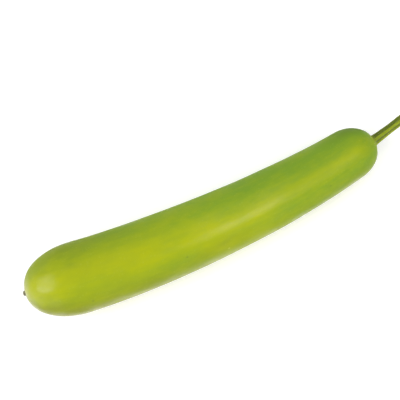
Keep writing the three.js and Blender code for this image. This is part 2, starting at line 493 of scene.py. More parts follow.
def closed_mesh(name, points, layers, material):
    """A closed mesh from rings of points. The first and last ring each close on a point at their middle.

    points has the shape (rings, sides, 3), and each layer of values (rings, sides) or (rings, sides, 3).
    """
    rings, sides = points.shape[:2]

    def flat(values):
        first, last = values[0].mean(0, keepdims=True), values[-1].mean(0, keepdims=True)
        return np.concatenate([values.reshape((rings * sides,) + values.shape[2:]), first, last])

    ring, side = np.meshgrid(np.arange(rings - 1), np.arange(sides), indexing="ij")
    here, after = ring * sides + side, ring * sides + (side + 1) % sides
    quads = np.stack([here, after, after + sides, here + sides], -1).reshape(-1, 4)
    turn = np.arange(sides)
    first_pole, last_pole = rings * sides, rings * sides + 1
    start = np.stack([(turn + 1) % sides, turn, np.full(sides, first_pole)], -1)
    end_ring = (rings - 1) * sides
    end = np.stack([end_ring + turn, end_ring + (turn + 1) % sides, np.full(sides, last_pole)], -1)
    faces = quads.tolist() + start.tolist() + end.tolist()
    piece = link_mesh(name, flat(points).tolist(), faces, material)
    for label, values in layers.items():
        kind = "FLOAT_VECTOR" if values.ndim == 3 else "FLOAT"
        field = "vector" if values.ndim == 3 else "value"
        layer = piece.data.attributes.new(label, kind, "POINT")
        layer.data.foreach_set(field, flat(values).astype(np.float32).ravel())
    return piece


def round_angles(sides):
    """Evenly spread angles, once round."""
    return np.linspace(0, 2 * np.pi, sides, endpoint=False)


# ------------------------ the fruit's skin

SKIN_SIDES = 280
TIP_REACH = 12 * MM  # round each tip the rings are evenly close
BLOSSOM_RINGS = (30, 44)  # on the tip, and over the rest of the cap
STEM_END_RINGS = (40, 32)
BODY_RINGS = 192


def tip_distances(cap, end_radius, tip_rings, cap_rings):
    """Distances of the rings from a tip: evenly spread over the tip, then over the rest of the cap."""
    shares = np.linspace(0, TIP_REACH / end_radius, tip_rings + 1)[1:]
    rest = np.linspace(math.asin(shares[-1]), math.pi / 2, cap_rings + 1)[1:]
    return cap_distance(np.concatenate([shares, np.minimum(np.sin(rest), 1)]), cap)


def fruit_rings():
    """Distances of all the fruit's rings."""
    start = tip_distances(BLOSSOM_CAP, BLOSSOM_RADIUS, *BLOSSOM_RINGS)
    end = FRUIT_LENGTH - tip_distances(STEM_CAP, STEM_END_RADIUS, *STEM_END_RINGS)[::-1]
    body = np.linspace(start[-1], end[0], BODY_RINGS + 2)[1:-1]
    return np.concatenate([start, body, end])


def make_fruit_skin(material):
    """The whole skin of the fruit, with its shades, painted light and shade among them, and its gloss
    laid out over it.
    """
    distance, angle = np.meshgrid(fruit_rings(), round_angles(SKIN_SIDES), indexing="ij")
    layers = {
        "skin_place": straightened(distance, angle),
        "green_and_painted_light_side": green_and_painted_light(distance, angle),
        "olive_and_painted_shade_side": olive_and_painted_shade(distance, angle),
        "painted_deep_shade_side": painted_deep_shade(distance, angle),
        "floor_reflection_side": painted_floor_reflection(distance, angle),
        "wax": wax_gloss(distance, angle),
        "from_scar": round_seat(distance, angle, 0, SCAR_SEAT)[1],
        "from_stem": round_seat(distance, angle, FRUIT_LENGTH, STEM_SEAT)[1],
    }
    return closed_mesh("fruit_skin", skin_surface(distance, angle), layers, material)


# ------------------------ the stem

STEM_SIDES = 160
STEM_FOOT_SUNK = 0.6 * MM  # how deep the stem's foot reaches into the collar
STEM_RINGS = 150
STEM_RING_CROWDING = 1.15  # above 1, the rings crowd towards the flared foot
FACE_RINGS = 18
DISH_RINGS = 14
DISH_STEP = 0.12 * MM  # how much narrower the dish is than the opening in the cut face
CUT_BEVEL = 0.2 * MM
CUT_MARK_HEIGHT = 0.03 * MM  # the knife's marks over the cut face
CUT_MARK_WIDTH = 0.16 * MM
CUT_MARK_TURN = 0.7
BUNDLES = 10  # bundles of fibre, ringed in the cut face
BUNDLE_RING = 3.85 * MM
BUNDLE_SIZE = 0.38 * MM
BUNDLE_HEIGHT = 0.13 * MM
# Side of the stem that its painted light faces, with painted shade growing away from it
STEM_LIT_ANGLE = math.radians(43)
CREST_TINT_TURN = 0.14  # the painted light of the pale stripes lies a little to one side of the ribs' crests


def bundle_mask(radius, angle):
    """1 at the middle of each bundle of fibre in the cut face, and 0 away from them."""
    spacing = 2 * np.pi / BUNDLES
    off = (angle / spacing + 0.5) % 1 - 0.5
    return np.exp(-((off * spacing * radius) ** 2 + (radius - BUNDLE_RING) ** 2) / BUNDLE_SIZE ** 2)


def stem_side_rings(angles):
    """Distances and radii of the rings from the sunk foot to the bevel of the cut."""
    upwards = STEM_LENGTH * np.linspace(0, 1, STEM_RINGS) ** STEM_RING_CROWDING
    upwards = np.concatenate([[-STEM_FOOT_SUNK], upwards[:-1], [STEM_LENGTH - CUT_BEVEL]])
    distance, angle = np.meshgrid(upwards, angles, indexing="ij")
    return distance, stem_side(np.maximum(distance, 0), angle)


def cut_face_rings(angles, rim):
    """Distances and radii of the rings over the cut face, from the bevel to the pith."""
    shares = np.linspace(0, 1, FACE_RINGS)[:, None]
    radius = (rim - CUT_BEVEL) * (1 - shares) + PITH_RADIUS * shares
    angle = np.broadcast_to(angles, radius.shape)
    marks = CUT_MARK_HEIGHT * np.cos(radius * np.cos(angle - CUT_MARK_TURN) / CUT_MARK_WIDTH)
    return STEM_LENGTH + marks + BUNDLE_HEIGHT * bundle_mask(radius, angle), radius


def pith_dish_rings(angles):
    """Distances and radii of the rings of the dish that the pith lies in."""
    shares = np.linspace(1, INNER_SHARE, DISH_RINGS)[:, None] + 0 * angles
    radius = (PITH_RADIUS - DISH_STEP) * shares
    return STEM_LENGTH - PITH_DEPTH + 0 * radius, radius


def make_stem_stalk(material):
    """The ribbed stem in one skin: its side, its cut face with the fibre bundles, and the pith's dish."""
    angles = round_angles(STEM_SIDES)
    side_distance, side_radius = stem_side_rings(angles)
    face_distance, face_radius = cut_face_rings(angles, side_radius[-1])
    dish_distance, dish_radius = pith_dish_rings(angles)
    distance = np.concatenate([side_distance, face_distance, dish_distance])
    radius = np.concatenate([side_radius, face_radius, dish_radius])
    angle = np.broadcast_to(angles, radius.shape)
    on_face = np.concatenate([0 * side_radius, 1 + 0 * face_radius, 1 + 0 * dish_radius])
    layers = {
        "stem_place": np.stack([distance, radius * np.sin(angle), radius * np.cos(angle)], -1),
        "from_foot": distance,
        "crest": (1 + rib_wave(distance, angle + CREST_TINT_TURN)) / 2,
        "shaded_side": (1 - np.cos(turned(angle, STEM_LIT_ANGLE))) / 2,
        "on_face": on_face,
        "bundle": bundle_mask(radius, angle) * on_face,
    }
    return closed_mesh("stem_stalk", stem_point(distance, angle, radius), layers, material)


# ------------------------ the pith

PITH_SIDES = 72
PITH_RINGS = 30
PITH_UNDERSIDE = (0.05, 0.5, 0.98)  # its rings, as shares of the radius
PITH_GAP = 0.2 * MM  # between the pith and the opening in the cut face
PITH_LIFTS = (0.02 * MM, 0.06 * MM)  # height of its underside and its edge over the dish
PITH_CROWN = (0.28 * MM, 6)  # height, and the power that its edge is rounded by
PITH_HOLLOW = (0.7 * MM, 0.25 * MM)  # radius and depth
SPONGE = (0.07 * MM, 8)  # height, and the power by which it fades towards the edge


def make_stem_pith(material):
    """The dried pith in the cut end: a spongy crown with a small hollow in its middle."""
    angles = round_angles(PITH_SIDES)
    top = np.linspace(1, INNER_SHARE, PITH_RINGS)
    shares = np.concatenate([PITH_UNDERSIDE, top])[:, None] + 0 * angles
    radius = (PITH_RADIUS - PITH_GAP) * shares
    angle = np.broadcast_to(angles, radius.shape)
    under = np.arange(len(shares))[:, None] < len(PITH_UNDERSIDE)
    level_place = np.stack([radius * np.cos(angle), radius * np.sin(angle), 0 * radius], -1)
    height, power = SPONGE
    sponge = height * random_waves(level_place, *PITH_SPONGE) * (1 - shares ** power)
    reach, depth = PITH_HOLLOW
    hollow = depth * np.exp(-(radius / reach) ** 2)
    height, power = PITH_CROWN
    crown = height * (1 - shares ** power) - hollow + sponge
    underside, edge = PITH_LIFTS
    distance = STEM_LENGTH - PITH_DEPTH + np.where(under, underside, edge + crown)
    layers = {"pith_place": np.stack([distance, radius * np.sin(angle), radius * np.cos(angle)], -1)}
    return closed_mesh("stem_pith", stem_point(distance, angle, radius), layers, material)


# ------------------------ the scar

SCAR_SIDES = 100
SCAR_RINGS = 44
SCAR_SUNK_SHARE = 0.5  # radius of the ring that closes its foot, as a share
SCAR_FOLDS = 17
SCAR_FOLD_SWAY = 2
SCAR_RAGS = ((3, 0.8, 1), (7, -1.1, 0.7))  # its ragged edge: waves round it, their start and their height
SCAR_UNEVEN_WIDTH = (0.03, 0.025)  # ragged edge and fine folds, as shares of the radius
SCAR_UNEVEN_HEIGHT = (0.14, 0.12, 0.05)  # ragged edge, lobes and fine folds, as shares of the height
CRUMPLE_HEIGHT = 0.07 * MM


def scar_foot():
    """The scar's foot on the fruit, and the directions along and across the fruit there."""
    seat_radius, side = SCAR_SEAT
    place, along, across = centreline(np.array(cap_distance(seat_radius / body_radius(0), BLOSSOM_CAP)))
    return place - along * SEAT_GAP + across * side, along, across


def scar_rings():
    """Shares of the scar's radius and height in each ring, from its foot to the middle of its dimple."""
    corners = np.arange(len(SCAR_OUTLINE))
    steps = np.linspace(0, len(SCAR_OUTLINE) - 1 - INNER_SHARE, SCAR_RINGS)
    radii, heights = np.array(SCAR_OUTLINE).T
    share = np.concatenate([[SCAR_SUNK_SHARE], np.interp(steps, corners, radii)])[:, None]
    rise = np.concatenate([[0], np.interp(steps, corners, heights)])[:, None]
    return share, rise


def make_blossom_scar(material):
    """The withered foot of the flower: five ragged lobes round a dimple."""
    share, rise = scar_rings()
    angle = np.broadcast_to(round_angles(SCAR_SIDES), (len(share), SCAR_SIDES))
    lobes = np.cos(SCAR_LOBES * angle)
    ragged = sum(height * np.cos(waves * angle + start) for waves, start, height in SCAR_RAGS)
    folds = np.cos(SCAR_FOLDS * angle + SCAR_FOLD_SWAY * np.sin(2 * angle))
    by_ragged, by_folds = SCAR_UNEVEN_WIDTH
    width = 1 + SCAR_LOBE_HEIGHT / SCAR_RADIUS * lobes + by_ragged * ragged + by_folds * folds
    by_ragged, by_lobes, by_folds = SCAR_UNEVEN_HEIGHT
    lift = 1 + share * (by_ragged * ragged + by_lobes * lobes + by_folds * folds)

    radius = SCAR_RADIUS * share * width
    height = SCAR_HEIGHT * rise * lift
    scar_place = np.stack([radius * np.cos(angle), radius * np.sin(angle), height], -1)
    height = height + CRUMPLE_HEIGHT * random_waves(scar_place, *SCAR_CRUMPLES) * rise
    foot, along, across = scar_foot()
    point = foot - along * height[..., None] + across * (radius * np.sin(angle))[..., None]
    point[..., 2] += radius * np.cos(angle)
    layers = {"scar_place": scar_place, "rise": rise * share + 0 * angle}
    return closed_mesh("flower_scar", point, layers, material)


# ------------------------ the hairs

HAIRS_ON_STEM = 900
HAIRS_ON_SHOULDER = 420
HAIR_CROWDING = 1.2  # above 1, the hairs crowd towards the stem's foot
STEM_HAIR_MARGINS = (1.5 * MM, 1 * MM)  # bare stem at its foot and at its cut
SHOULDER_HAIR_SHARES = (0.26, 0.8)  # share of the fruit's radius where they begin and end
HAIR_LENGTHS = (0.35 * MM, 0.95 * MM)
HAIR_LEANS = (-0.1, 0.7)  # towards the tip
HAIR_STRAY = 0.25  # to the side
HAIR_BEND = (0.5, 0.4)  # share of the length at which a hair bends, and of its lean that it has there
HAIR_TIP = (0.85, 0.8)  # how far up and how far over the tip comes, as shares of the length and the lean
HAIR_THICKNESS = 0.035 * MM  # radius at the root
HAIR_TAPER = 0.7  # share of it that is left at the bend
HAIR_SUNK = 0.06 * MM
HAIR_SIDES = 3
SLOPE_STEP = 0.05 * MM  # short steps, forward and round, that show how a surface lies
SLOPE_TURN = 0.01


def surface_slopes(surface, distance, angle):
    """Points of a surface, and from each a short step forward and one sideways over it."""
    point = surface(distance, angle)
    forward = surface(distance + SLOPE_STEP, angle) - point
    sideways = surface(distance, angle + SLOPE_TURN) - point
    return point, forward, sideways


def hair_roots(chance):
    """Roots of the hairs on the stem and shoulder, and the directions out of the surface and forward."""
    foot_margin, cut_margin = STEM_HAIR_MARGINS
    spread = chance.uniform(0, 1, HAIRS_ON_STEM) ** HAIR_CROWDING
    distance = foot_margin + spread * (STEM_LENGTH - foot_margin - cut_margin)
    angle = chance.uniform(0, 2 * np.pi, HAIRS_ON_STEM)
    on_stem = surface_slopes(stem_surface, distance, angle)

    share = chance.uniform(*SHOULDER_HAIR_SHARES, HAIRS_ON_SHOULDER)
    distance = FRUIT_LENGTH - cap_distance(share, STEM_CAP)
    angle = chance.uniform(0, 2 * np.pi, HAIRS_ON_SHOULDER)
    on_shoulder = surface_slopes(skin_surface, distance, angle)

    roots, forward, sideways = (np.concatenate(both) for both in zip(on_stem, on_shoulder))
    outward = np.cross(sideways, forward)
    outward /= np.linalg.norm(outward, axis=1)[:, None]
    forward /= np.linalg.norm(forward, axis=1)[:, None]
    return roots, outward, forward


def hair_faces(count):
    """Faces of all the hairs: each has a closed root, sides up to its bend, and sides up to its tip."""
    faces = []
    points_each = 2 * HAIR_SIDES + 1
    for first in range(0, points_each * count, points_each):
        faces.append((first, *range(first + HAIR_SIDES - 1, first, -1)))
        for corner in range(HAIR_SIDES):
            low, low_after = first + corner, first + (corner + 1) % HAIR_SIDES
            high, high_after = low + HAIR_SIDES, low_after + HAIR_SIDES
            faces.append((low, low_after, high_after, high))
            faces.append((high, high_after, first + 2 * HAIR_SIDES))
    return faces


def make_stem_hairs(material):
    """Short curved hairs, each a slim three-sided cone."""
    chance = np.random.default_rng(HAIR_SEED)
    roots, outward, forward = hair_roots(chance)
    sideways = np.cross(outward, forward)
    count = len(roots)
    length = chance.uniform(*HAIR_LENGTHS, count)[:, None]
    lean = chance.uniform(*HAIR_LEANS, count)[:, None]
    stray = chance.normal(0, HAIR_STRAY, count)[:, None]
    half_way, bent = HAIR_BEND
    bend = roots + length * half_way * (outward + bent * lean * forward + bent * stray * sideways)
    up, over = HAIR_TIP
    tip = roots + length * (up * outward + over * lean * forward + stray * sideways)
    start = roots - outward * HAIR_SUNK

    corners = []
    for centre, thick in ((start, HAIR_THICKNESS), (bend, HAIR_THICKNESS * HAIR_TAPER)):
        for corner in range(HAIR_SIDES):
            turn = 2 * math.pi * corner / HAIR_SIDES
            corners.append(centre + thick * (math.cos(turn) * forward + math.sin(turn) * sideways))
    points = np.stack(corners + [tip], 1).reshape(-1, 3)
    return link_mesh("stem_hairs", points.tolist(), hair_faces(count), material)


# ------------------------ node wiring

class Wiring:
    """Adds and joins the nodes of one material, node group or world."""

    def __init__(self, tree):
        self.tree = tree

    def node(self, kind, **settings):
        """Adds a node with its settings."""
        made = self.tree.nodes.new(kind)
        for setting, value in settings.items():
            setattr(made, setting, value)
        return made

    def feed(self, socket, value):
        """Joins an output to a socket, or sets the socket to a plain value."""
        if isinstance(value, bpy.types.NodeSocket):
            self.tree.links.new(value, socket)
        else:
            socket.default_value = value

    def feed_all(self, made, values):
        """Feeds a node's sockets in order, and returns its first output."""
        for socket, value in zip(made.inputs, values):
            self.feed(socket, value)
        return made.outputs[0]

    def maths(self, operation, *values):
        """One sum, product or other operation on numbers."""
        return self.feed_all(self.node("ShaderNodeMath", operation=operation), values)

    def vector(self, operation, *values):
        """One operation on vectors, whose result is a vector, or a number where it measures."""
        made = self.node("ShaderNodeVectorMath", operation=operation)
        self.feed_all(made, values)
        return made.outputs["Value" if operation in ("LENGTH", "DISTANCE") else "Vector"]

    def between(self, share, low, high):
        """A share of 0 to 1 spread out evenly between two values."""
        return self.maths("MULTIPLY_ADD", share, high - low, low)

    def step(self, value, low, high, low_value=0.0, high_value=1.0):
        """A smooth step of value from low_value at low to high_value at high."""
        made = self.node("ShaderNodeMapRange", interpolation_type="SMOOTHSTEP")
        return self.feed_all(made, (value, low, high, low_value, high_value))

    def mix(self, share, first, second):
        """The first colour, with a share of the second laid over it."""
        made = self.node("ShaderNodeMix", data_type="RGBA")
        self.feed(made.inputs[0], share)
        self.feed(made.inputs[6], first)
        self.feed(made.inputs[7], second)
        return made.outputs[2]

    def tint(self, colour, second, mask, strength):
        """A colour with a second one laid over it where a mask is, at that strength."""
        return self.mix(self.maths("MULTIPLY", mask, strength), colour, second)

    def noise(self, place, scale=1.0, detail=3.0, roughness=0.5):
        """Soft random noise of about 0 to 1."""
        made = self.node("ShaderNodeTexNoise")
        self.feed(made.inputs["Vector"], place)
        self.feed(made.inputs["Scale"], scale)
        self.feed(made.inputs["Detail"], detail)
        self.feed(made.inputs["Roughness"], roughness)
        return made.outputs[0]

    def attribute(self, name, output="Fac"):
        """One of the layers of values that the meshes carry."""
        return self.node("ShaderNodeAttribute", attribute_name=name).outputs[output]

    def effect(self, group, **values):
        """Places a node group with its own values, and returns its first output."""
        made = self.node("ShaderNodeGroup", node_tree=group)
        for name, value in values.items():
            self.feed(made.inputs[name], value)
        return made.outputs[0]


def stretched(wire, place, width, stretch):
    """The place scaled so that a noise of scale 1 has that width, and is that much longer along X."""
    per_width = wire.maths("DIVIDE", 1.0, width)
    scale = wire.node("ShaderNodeCombineXYZ")
    wire.feed_all(scale, (wire.maths("DIVIDE", per_width, stretch), per_width, per_width))
    return wire.vector("MULTIPLY", place, scale.outputs[0])


def dress(wire, shader, colour, roughness, shine):
    """Gives a shader its colour, its roughness and how strongly it reflects."""
    wire.feed(shader.inputs["Base Color"], colour)
    wire.feed(shader.inputs["Roughness"], roughness)
    wire.feed(shader.inputs["Specular IOR Level"], shine)


def bump(wire, shader, height, depth, strength):
    """Roughens a shader's surface by a height of 0 to 1, which stands for that depth."""
    made = wire.node("ShaderNodeBump")
    made.inputs["Strength"].default_value = strength
    made.inputs["Distance"].default_value = depth
    wire.feed(made.inputs["Height"], height)
    wire.feed(shader.inputs["Normal"], made.outputs["Normal"])


def new_material(name):
    """An empty material with its shader, ready to be wired."""
    material = bpy.data.materials.new(name)
    material.use_nodes = True
    material.node_tree.nodes.clear()
    wire = Wiring(material.node_tree)
    shader = wire.node("ShaderNodeBsdfPrincipled")
    output = wire.node("ShaderNodeOutputMaterial")
    wire.feed(output.inputs["Surface"], shader.outputs["BSDF"])
    return material, wire, shader


# ------------------------ shared effects

FLOAT, VECTOR = "NodeSocketFloat", "NodeSocketVector"
SEED_SIDESTEP = 1.7  # a seed moves the blotches along X, and this much as far sideways
WOBBLE_SCALE = 1.3  # waves that a fleck is bent by, for each spacing
WOBBLE = (0.5, 0.5, 0.5)  # how far they bend it, as a share of the spacing
SPOT_RAG_SCALE = 900.0  # of the noise that makes a spot's edge ragged
FIBRE_EDGES = (0.3, 0.7)  # noise at which a fibre begins and is full


def new_effect(name, inputs, output):
    """An empty shader node group. inputs is a list of (name, kind, default), and output one name."""
    group = bpy.data.node_groups.new(name, "ShaderNodeTree")
    for label, kind, default in inputs:
        socket = group.interface.new_socket(label, in_out="INPUT", socket_type=kind)
        if default is not None:
            socket.default_value = default
    group.interface.new_socket(output, in_out="OUTPUT", socket_type="NodeSocketFloat")
    wire = Wiring(group)
    start = wire.node("NodeGroupInput")
    end = wire.node("NodeGroupOutput")
    return group, wire, {label: start.outputs[label] for label, _, _ in inputs}, end.inputs[output]


def effect_blotches():
    """Soft patches of a given width, and longer along X where they are stretched."""
    inputs = [("Place", VECTOR, None), ("Width", FLOAT, 20 * MM), ("Stretch", FLOAT, 1.0),
              ("Seed", FLOAT, 0.0), ("Low", FLOAT, 0.35), ("High", FLOAT, 0.65)]
    group, wire, given, out = new_effect("soft_blotches", inputs, "Blotch")
    spread = stretched(wire, given["Place"], given["Width"], given["Stretch"])
    shift = wire.node("ShaderNodeCombineXYZ")
    wire.feed_all(shift, (given["Seed"], wire.maths("MULTIPLY", given["Seed"], SEED_SIDESTEP)))
    noise = wire.noise(wire.vector("ADD", spread, shift.outputs[0]), roughness=0.55)
    wire.feed(out, wire.step(noise, given["Low"], given["High"]))
    return group


def effect_flecks():
    """Small round flecks of uneven size, strewn at a given spacing."""
    inputs = [("Place", VECTOR, None), ("Spacing", FLOAT, 3 * MM),
              ("Fleck", FLOAT, 0.3), ("Soft", FLOAT, 0.12)]
    group, wire, given, out = new_effect("pale_flecks", inputs, "Flecks")
    spread = stretched(wire, given["Place"], given["Spacing"], 1.0)
    wobble = wire.node("ShaderNodeTexNoise")
    wire.feed(wobble.inputs["Vector"], spread)
    wire.feed(wobble.inputs["Scale"], WOBBLE_SCALE)
    bent = wire.vector("MULTIPLY_ADD", wobble.outputs["Color"], WOBBLE, spread)
    cells = wire.node("ShaderNodeTexVoronoi")
    wire.feed(cells.inputs["Vector"], bent)
    wire.feed(cells.inputs["Scale"], 1.0)
    luck = wire.node("ShaderNodeSeparateColor")
    wire.feed(luck.inputs[0], cells.outputs["Color"])
    size = wire.maths("MULTIPLY", given["Fleck"], luck.outputs[0])
    outer = wire.maths("ADD", size, given["Soft"])
    wire.feed(out, wire.step(cells.outputs["Distance"], outer, size))
    return group


def effect_spot():
    """One soft-edged, ragged spot round a centre."""
    inputs = [("Place", VECTOR, None), ("Centre", VECTOR, None),
              ("Radius", FLOAT, 2 * MM), ("Edge", FLOAT, 0.6)]
    group, wire, given, out = new_effect("single_spot", inputs, "Spot")
    away = wire.vector("DISTANCE", given["Place"], given["Centre"])
    ragged = wire.noise(given["Place"], scale=SPOT_RAG_SCALE, detail=2.0)
    reach = wire.maths("MULTIPLY", given["Radius"], wire.maths("ADD", ragged, 0.5))
    inner = wire.maths("MULTIPLY", reach, wire.maths("SUBTRACT", 1.0, given["Edge"]))
    wire.feed(out, wire.step(away, reach, inner))
    return group


def effect_fibres():
    """Fine lengthwise fibres."""
    inputs = [("Place", VECTOR, None), ("Width", FLOAT, 0.4 * MM), ("Stretch", FLOAT, 20.0)]
    group, wire, given, out = new_effect("lengthwise_fibres", inputs, "Fibre")
    spread = stretched(wire, given["Place"], given["Width"], given["Stretch"])
    wire.feed(out, wire.step(wire.noise(spread, detail=2.0, roughness=0.6), *FIBRE_EDGES))
    return group


BLOTCHES = effect_blotches()
FLECKS = effect_flecks()
SPOT = effect_spot()
FIBRES = effect_fibres()


# ------------------------ finishes

# Colours, as linear red, green and blue, with an alpha of 1
LIME = (0.38, 0.422, 0.006, 1)
LEAF_GREEN = (0.18, 0.304, 0.025, 1)
# Olive, laid on partly as painted shade on the lower side
DULL_OLIVE = (0.22, 0.24, 0.012, 1)
# Deep green, laid on as painted shade
SHADE_GREEN = (0.11, 0.195, 0.016, 1)
# Straw, laid on as a painted reflection of the pale floor
REFLECTION_STRAW = (0.56, 0.52, 0.29, 1)
PALE_FLECK = (0.46, 0.51, 0.12, 1)
BLOSSOM_PALE = (0.44, 0.43, 0.22, 1)
SHOULDER_YELLOW = (0.30, 0.345, 0.025, 1)
SCAR_RING = (0.20, 0.16, 0.07, 1)
DARK_MARK = (0.16, 0.20, 0.03, 1)
PALE_MARK = (0.62, 0.60, 0.10, 1)
# Marks on the skin: distance in millimetres, angle in degrees, radius in millimetres, strength and colour
SKIN_MARKS = (
    (204, 69, 1.6, 0.38, PALE_MARK),
    (326, 51, 1.3, 0.4, DARK_MARK),
    (161, 48, 1.6, 0.35, DARK_MARK),
    (62, 63, 1.9, 0.4, DARK_MARK),
    (275, -105, 2.2, 0.5, DARK_MARK),
    (118, -150, 2.6, 0.45, PALE_MARK),
)
# How far each pattern swings the green, both ways
PATCH_SWING = 0.11
STREAK_SWING = 0.045
MOTTLE_SWING = 0.05
# How strong a tint is, as a share of its mask: between the patches and on them, or alike everywhere
GREEN_COVER = (0.75, 1.25)
STRAW_COVER = (0.3, 0.6)
BLOSSOM_COVER = (0.4, 0.65)
FLECK_COVER = 0.08
# How far from the stem or the scar a tint begins and is full, and its strength at each
YELLOW_BY_STEM = (22 * MM, 10 * MM, 0.0, 0.55)
PALE_BY_SCAR = (26 * MM, 4 * MM)
RING_BY_SCAR = (5.5 * MM, 3.5 * MM, 0.0, 0.8)
# Where the wax is dull and where it is rubbed bright: the skin's roughness, and the share of the gloss
SKIN_ROUGHNESS = (0.5, 0.42)
WAX_BRIGHTNESS = (0.55, 1.45)
WAX_ROUGHNESS = 0.2
WAX_IOR = 1.45
SKIN_SHINE = 0.02  # of the skin under its wax
# The light that sinks in and comes out again: its share, its reach by colour, and the scale of the reach
GLOW_SHARE = 0.12
GLOW_REACH = (0.8, 1.0, 0.15)
GLOW_SCALE = 0.003
PEEL_SCALE = 260.0
PORE_HEIGHT = -0.12  # against the peel's height of 1
SKIN_BUMP = (0.12 * MM, 0.6)  # depth and strength, as in the bumps further on


def skin_colour(wire, place, patches):
    """Lime that turns to leaf green, olive, deep green and straw, in streaks and mottle, partly painted
    light, shade and reflection.
    """
    streaks = wire.effect(BLOTCHES, Place=place, Width=3.5 * MM, Stretch=9.0, Seed=11.0)
    mottle = wire.effect(BLOTCHES, Place=place, Width=6.5 * MM, Stretch=1.6, Seed=17.0)
    # The green is partly painted shade, and the lime partly painted light
    green = wire.attribute("green_and_painted_light_side")
    for pattern, swing in ((patches, PATCH_SWING), (streaks, STREAK_SWING), (mottle, MOTTLE_SWING)):
        green = wire.maths("ADD", green, wire.between(pattern, -swing, swing))
    colour = wire.mix(green, LIME, LEAF_GREEN)
    for second, mask, cover in ((DULL_OLIVE, "olive_and_painted_shade_side", GREEN_COVER),
                                (SHADE_GREEN, "painted_deep_shade_side", GREEN_COVER),
                                (REFLECTION_STRAW, "floor_reflection_side", STRAW_COVER)):
        colour = wire.tint(colour, second, wire.attribute(mask), wire.between(patches, *cover))
    return colour


def skin_marks(wire, place, patches, colour):
    """The skin's colour with its fine flecks, the tints round the stem and the scar, and single marks."""
    flecks = wire.effect(FLECKS, Place=place, Spacing=3.2 * MM, Fleck=0.2, Soft=0.16)
    colour = wire.tint(colour, PALE_FLECK, flecks, FLECK_COVER)
    by_stem = wire.step(wire.attribute("from_stem"), *YELLOW_BY_STEM)
    colour = wire.mix(by_stem, colour, SHOULDER_YELLOW)
    from_scar = wire.attribute("from_scar")
    near_scar = wire.step(from_scar, *PALE_BY_SCAR)
    colour = wire.tint(colour, BLOSSOM_PALE, near_scar, wire.between(patches, *BLOSSOM_COVER))
    colour = wire.mix(wire.step(from_scar, *RING_BY_SCAR), colour, SCAR_RING)
    for distance, angle, radius, strength, tint in SKIN_MARKS:
        centre = straightened(np.array(distance * MM), math.radians(angle))
        spot = wire.effect(SPOT, Place=place, Centre=centre.tolist(), Radius=radius * MM)
        colour = wire.tint(colour, tint, spot, strength)
    return colour


def finish_skin():
    """Satin, waxed skin with fine pores."""
    material, wire, shader = new_material("gourd_skin")
    place = wire.attribute("skin_place", "Vector")
    patches = wire.effect(BLOTCHES, Place=place, Width=24 * MM, Stretch=2.6, Seed=3.0)
    colour = skin_marks(wire, place, patches, skin_colour(wire, place, patches))
    rubbed_wax_and_painted_light = wire.effect(BLOTCHES, Place=place, Width=12 * MM, Stretch=1.8, Seed=23.0)
    dress(wire, shader, colour, wire.between(rubbed_wax_and_painted_light, *SKIN_ROUGHNESS), SKIN_SHINE)
    waxed = wire.maths("MULTIPLY", wire.attribute("wax"), wire.between(rubbed_wax_and_painted_light, *WAX_BRIGHTNESS))
    wire.feed(shader.inputs["Coat Weight"], waxed)
    shader.inputs["Coat Roughness"].default_value = WAX_ROUGHNESS
    shader.inputs["Coat IOR"].default_value = WAX_IOR
    shader.inputs["Subsurface Weight"].default_value = GLOW_SHARE
    shader.inputs["Subsurface Radius"].default_value = GLOW_REACH
    shader.inputs["Subsurface Scale"].default_value = GLOW_SCALE
    pores = wire.effect(FLECKS, Place=place, Spacing=1.1 * MM, Fleck=0.25, Soft=0.3)
    peel = wire.noise(place, scale=PEEL_SCALE)
    bump(wire, shader, wire.maths("MULTIPLY_ADD", pores, PORE_HEIGHT, peel), *SKIN_BUMP)
    return material


# Dark hollows and pale crests are partly the stem's own and partly painted shade and light, and the
# shaded colour is painted shade
STEM_GROOVE = (0.09, 0.127, 0.012, 1)
STEM_CREST = (0.29, 0.358, 0.014, 1)
STEM_SHADED = (0.055, 0.085, 0.011, 1)
STEM_FOOT_LIME = (0.26, 0.33, 0.03, 1)
STEM_FIBRE = (0.36, 0.40, 0.06, 1)
CUT_TAN = (0.25, 0.21, 0.07, 1)
CUT_FLESH = (0.46, 0.47, 0.20, 1)
BUNDLE_BROWN = (0.19, 0.15, 0.06, 1)
# Where a shade begins and is full, and its strength at each
CREST_EDGES = (0.2, 0.65)
STEM_SHADE = (0.12, 0.4, 0.0, 0.75)
STEM_FOOT_TINT = (4.5 * MM, 0.8 * MM, 0.0, 0.8)
STEM_DRYING = (STEM_LENGTH - 3 * MM, STEM_LENGTH - 0.2 * MM, 0.0, 0.8)
BUNDLE_EDGES = (0.25, 0.6)
FIBRE_COVER = 0.25
STEM_MOTTLE_COVER = 0.25
SPECKLE_COVER = 0.6
STEM_ROUGHNESS = (0.5, 0.62)
STEM_SHINE = 0.1
SPECKLE_HEIGHT = 0.4  # against the fibres' height of 1
STEM_BUMP = (0.08 * MM, 0.8)


